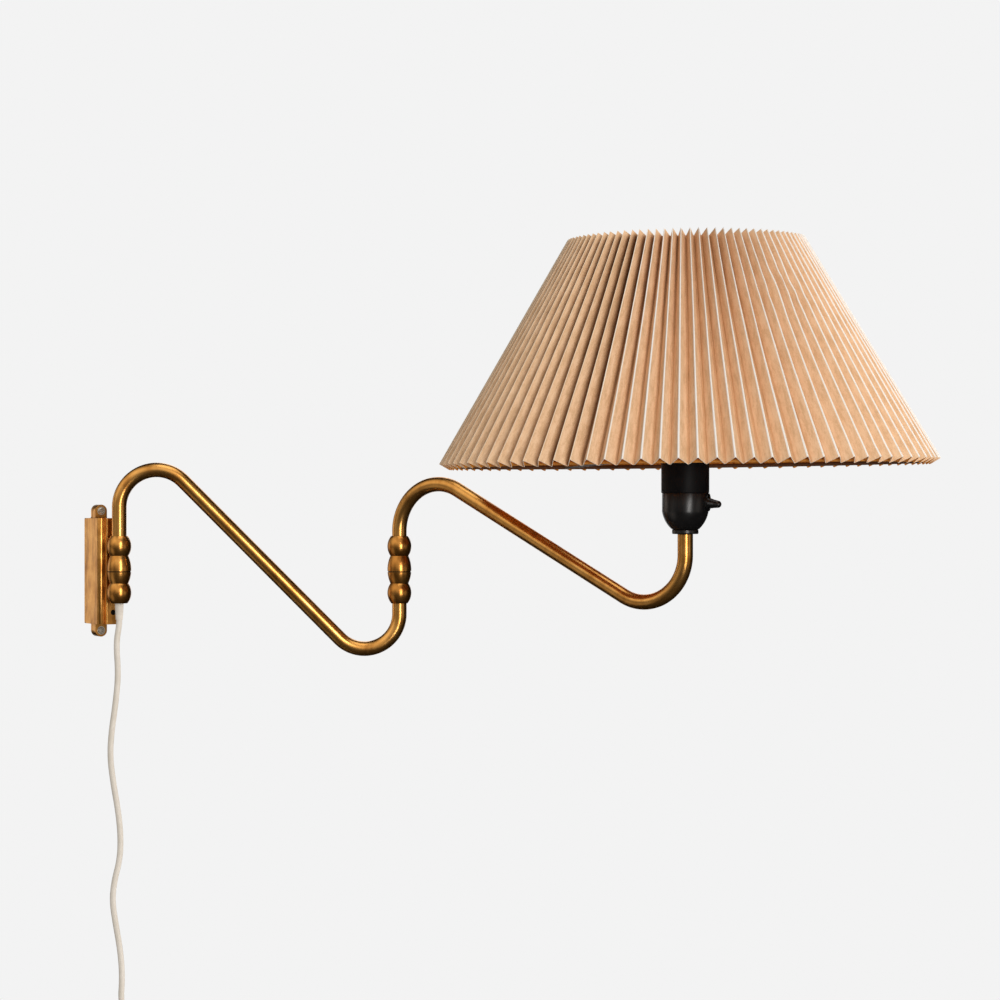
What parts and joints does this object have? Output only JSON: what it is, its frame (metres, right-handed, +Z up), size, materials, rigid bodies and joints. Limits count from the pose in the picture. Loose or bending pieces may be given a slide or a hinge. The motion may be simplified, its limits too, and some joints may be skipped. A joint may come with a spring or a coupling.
{
  "type": "articulated wall lamp",
  "caption": "Wall lamp with a brass bracket, swinging bent-tube arms on beaded knuckle joints, a black socket with toggle switch, a pleated conical shade and a plug-in cord.",
  "frame": {"origin": "midway between the two wall screw holes, on the wall plane", "axes": "+Z up, +Y into the wall, +X along the wall to the right"},
  "size_m": [0.5862, 0.6201, 0.7682],
  "materials": {
    "aged_brass": "aged, lightly brushed",
    "contact_brass": "plain",
    "steel_wire": "plain",
    "black_bakelite": "satin",
    "porcelain": "glazed",
    "cord_pvc": "smooth",
    "plug_plastic": "satin",
    "tie_strap": "woven",
    "pleated_paper": "pleated sheet with a fine grain"
  },
  "bodies": {
    "bracket": {"wall_plate": "aged_brass", "bracket_body": "aged_brass", "pivot_bar": "aged_brass", "bar_screw": "steel_wire", "knuckle_screws": "steel_wire", "wall_lower_knuckle": "aged_brass", "wall_pivot_sleeve": "aged_brass", "wall_thrust_washer": "aged_brass", "wall_pivot_nut": "aged_brass", "wall_flex": "cord_pvc", "strain_relief": "cord_pvc", "cord_tube": "cord_pvc", "cord_coil": "cord_pvc", "cord_tie": "tie_strap", "plug_body": "plug_plastic", "plug_pins": "contact_brass"},
    "arm_1": {"wall_upper_knuckle": "aged_brass", "arm_1_tube": "aged_brass", "arm_1_flex": "cord_pvc", "elbow_lower_knuckle": "aged_brass", "elbow_pivot_sleeve": "aged_brass", "elbow_thrust_washer": "aged_brass", "elbow_pivot_nut": "aged_brass"},
    "arm_2": {"elbow_upper_knuckle": "aged_brass", "arm_2_tube": "aged_brass", "arm_2_flex": "cord_pvc", "socket_nipple": "contact_brass", "socket_lock_ring": "black_bakelite", "socket_cap": "black_bakelite", "socket_barrel": "black_bakelite", "socket_insulator": "porcelain", "screw_shell": "contact_brass", "centre_contact": "contact_brass", "switch_bush": "black_bakelite", "switch_body": "black_bakelite", "toggle_pin": "steel_wire", "shade_fitter_ring": "steel_wire", "shade_spokes": "steel_wire", "shade_low_hoop": "steel_wire", "shade_retaining_ring": "black_bakelite", "shade_top_hoop": "steel_wire", "pleated_shade": "pleated_paper"},
    "toggle": {"switch_toggle": "black_bakelite"}
  },
  "joints": [
    {"name": "wall_swing", "type": "hinge", "parent": "bracket", "child": "arm_1", "pos_m": [0, -0.0497, 0], "axis": [0, 0, 1], "range_deg": [-144, 26]},
    {"name": "elbow_swing", "type": "hinge", "parent": "arm_1", "child": "arm_2", "pos_m": [0.20486, -0.17279, 0], "axis": [0, 0, 1], "range_deg": [-83, 147]},
    {"name": "toggle_flip", "type": "hinge", "parent": "arm_2", "child": "toggle", "pos_m": [0.33786, -0.42726, 0.0593], "axis": [-0.7431, -0.6691, 0], "range_deg": [0, 12]}
  ]
}
